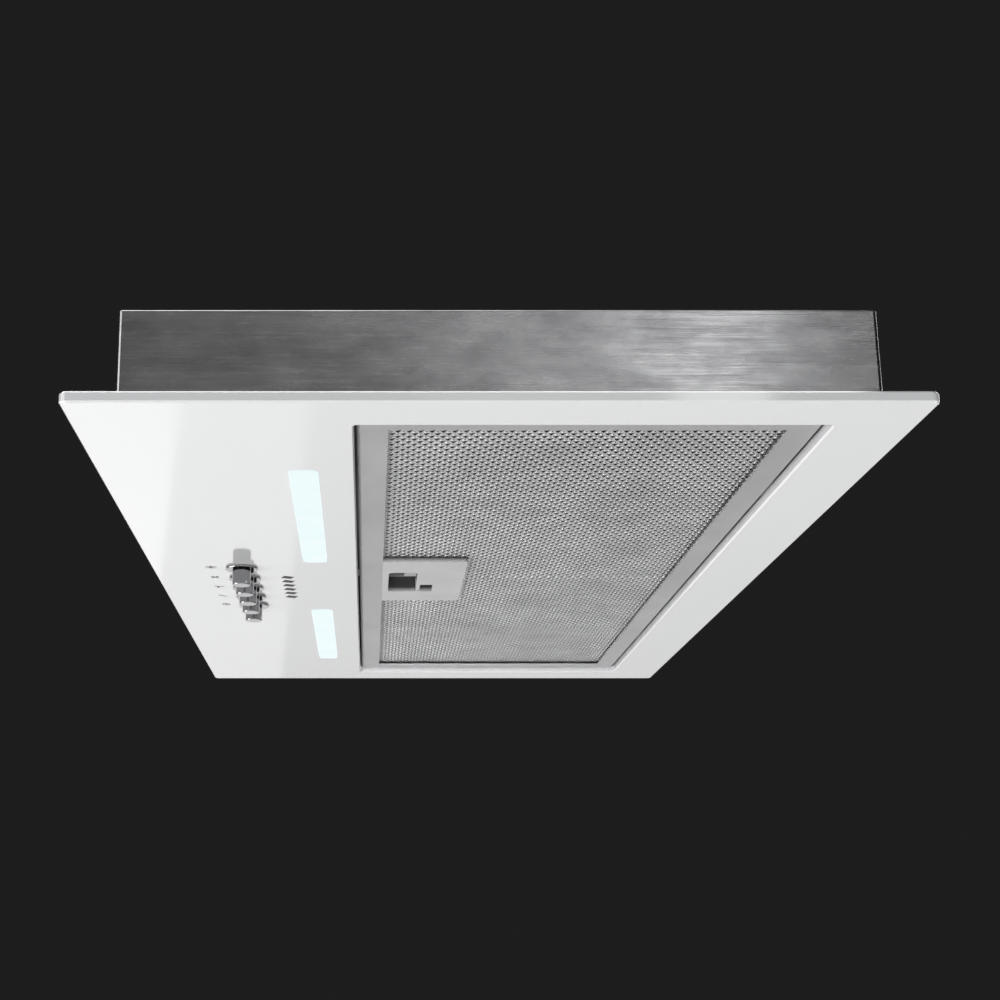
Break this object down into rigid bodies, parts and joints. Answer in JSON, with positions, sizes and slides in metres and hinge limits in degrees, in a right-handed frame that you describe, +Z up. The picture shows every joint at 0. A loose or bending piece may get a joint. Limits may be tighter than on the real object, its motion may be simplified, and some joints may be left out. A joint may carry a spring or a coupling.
{
  "type": "under cabinet range hood",
  "caption": "Shallow range hood with a white glass underside, chrome push buttons, slim lamps, a swing-down mesh grease filter, and a blower with a round duct spigot.",
  "frame": {"origin": "centre of the four cabinet screws, on the top of the deck, the plane that meets the cabinet", "axes": "+Z up, +X along the long side, the controls and the user at -Y"},
  "size_m": [0.53, 0.29, 0.1675],
  "materials": {
    "white_glass": "gloss, back-painted white",
    "adhesive_foam": "matte closed-cell tape",
    "carrier_steel": "satin zinc-coated sheet",
    "body_steel": "brushed lengthwise, slightly mottled",
    "filter_aluminium": "satin",
    "mesh_aluminium": "semi-bright expanded sheet",
    "latch_plastic": "satin silver-grey",
    "spring_steel": "plain drawn wire",
    "black_plastic": "fine moulded texture",
    "circuit_board": "solder mask",
    "zinc_hardware": "bright zinc",
    "white_plastic": "fine moulded texture",
    "cable_sleeve": "braided sleeve",
    "rubber_black": "matte",
    "grey_plastic": "fine moulded texture",
    "impeller_plastic": "smooth moulding",
    "motor_steel": "satin zinc-coated",
    "bronze": "sintered",
    "copper": "enamelled wire",
    "flap_plastic": "smooth moulding",
    "chrome_trim": "mirror",
    "lamp_diffuser": "frosted, lit cool white",
    "led_board": "white solder mask",
    "led_chip": "clear resin"
  },
  "bodies": {
    "hood": {"glass_panel": "white_glass", "panel_tape": "adhesive_foam", "panel_carrier": "carrier_steel", "body_shell": "body_steel", "electrics_partition": "carrier_steel", "switch_block": "black_plastic", "switch_board": "circuit_board", "switch_contacts": "black_plastic", "switch_nuts": "zinc_hardware", "led_driver": "white_plastic", "switch_lead": "cable_sleeve", "deck_grommet": "rubber_black", "terminal_box": "black_plastic", "terminal_lid": "black_plastic", "terminal_strip": "white_plastic", "terminal_screws": "zinc_hardware", "cable_gland": "black_plastic", "capacitor": "white_plastic", "capacitor_clamp": "zinc_hardware", "scroll_base": "grey_plastic", "scroll_cover": "grey_plastic", "scroll_screws": "zinc_hardware", "inlet_ring": "grey_plastic", "inlet_guard": "black_plastic", "motor_can": "motor_steel", "motor_cap": "motor_steel", "motor_screws": "zinc_hardware", "motor_bearings": "bronze", "motor_stator": "motor_steel", "motor_windings": "copper", "collector": "grey_plastic", "spigot": "grey_plastic", "spigot_screws": "zinc_hardware", "damper_pin": "spring_steel", "button_bezels": "chrome_trim", "button_springs": "spring_steel", "lamp_lens_left": "lamp_diffuser", "lamp_lens_right": "lamp_diffuser", "lamp_housings": "white_plastic", "led_boards": "led_board", "led_chips": "led_chip"},
    "filter": {"filter_frame": "filter_aluminium", "filter_front_mesh": "mesh_aluminium", "filter_mesh_pack": "mesh_aluminium", "filter_rear_mesh": "mesh_aluminium", "filter_rear_tabs": "filter_aluminium", "latch_housing": "latch_plastic", "latch_spring": "spring_steel"},
    "latch": {"latch_slider": "latch_plastic", "latch_tongue": "spring_steel"},
    "impeller": {"impeller": "impeller_plastic", "motor_rotor": "motor_steel", "motor_shaft": "spring_steel"},
    "damper_left": {"damper_flap_left": "flap_plastic"},
    "damper_right": {"damper_flap_right": "flap_plastic"},
    "button_1": {"button_1": "chrome_trim"},
    "button_2": {"button_2": "chrome_trim"},
    "button_3": {"button_3": "chrome_trim"},
    "button_4": {"button_4": "chrome_trim"},
    "button_5": {"button_5": "chrome_trim"}
  },
  "joints": [
    {"name": "filter_swing", "type": "hinge", "parent": "hood", "child": "filter", "pos_m": [0, 0.1152, -0.0363], "axis": [1, 0, 0], "range_deg": [0, 75], "deforming": ["latch_tongue"]},
    {"name": "latch_slide", "type": "slide", "parent": "filter", "child": "latch", "axis": [0, 1, 0], "range_m": [0, 0.006], "stiffness_N_per_m": 400, "springref_m": -0.003, "deforming": ["latch_spring"]},
    {"name": "impeller_spin", "type": "hinge", "parent": "hood", "child": "impeller", "pos_m": [0, 0.02, 0.03], "axis": [0, 0, 1], "continuous": true},
    {"name": "damper_left_swing", "type": "hinge", "parent": "hood", "child": "damper_left", "pos_m": [-0.142, 0.058, 0.091], "axis": [0, 1, 0], "range_deg": [0, 75]},
    {"name": "damper_right_swing", "type": "hinge", "parent": "hood", "child": "damper_right", "pos_m": [-0.142, 0.058, 0.091], "axis": [0, -1, 0], "range_deg": [0, 75]},
    {"name": "button_1_press", "type": "slide", "parent": "hood", "child": "button_1", "axis": [0, 0, 1], "range_m": [0, 0.0035], "stiffness_N_per_m": 500, "springref_m": -0.002, "deforming": ["button_springs"]},
    {"name": "button_2_press", "type": "slide", "parent": "hood", "child": "button_2", "axis": [0, 0, 1], "range_m": [0, 0.0035], "stiffness_N_per_m": 500, "springref_m": -0.002},
    {"name": "button_3_press", "type": "slide", "parent": "hood", "child": "button_3", "axis": [0, 0, 1], "range_m": [0, 0.0035], "stiffness_N_per_m": 500, "springref_m": -0.002},
    {"name": "button_4_press", "type": "slide", "parent": "hood", "child": "button_4", "axis": [0, 0, 1], "range_m": [0, 0.0035], "stiffness_N_per_m": 500, "springref_m": -0.002},
    {"name": "button_5_press", "type": "slide", "parent": "hood", "child": "button_5", "axis": [0, 0, 1], "range_m": [0, 0.0035], "stiffness_N_per_m": 500, "springref_m": -0.002}
  ]
}
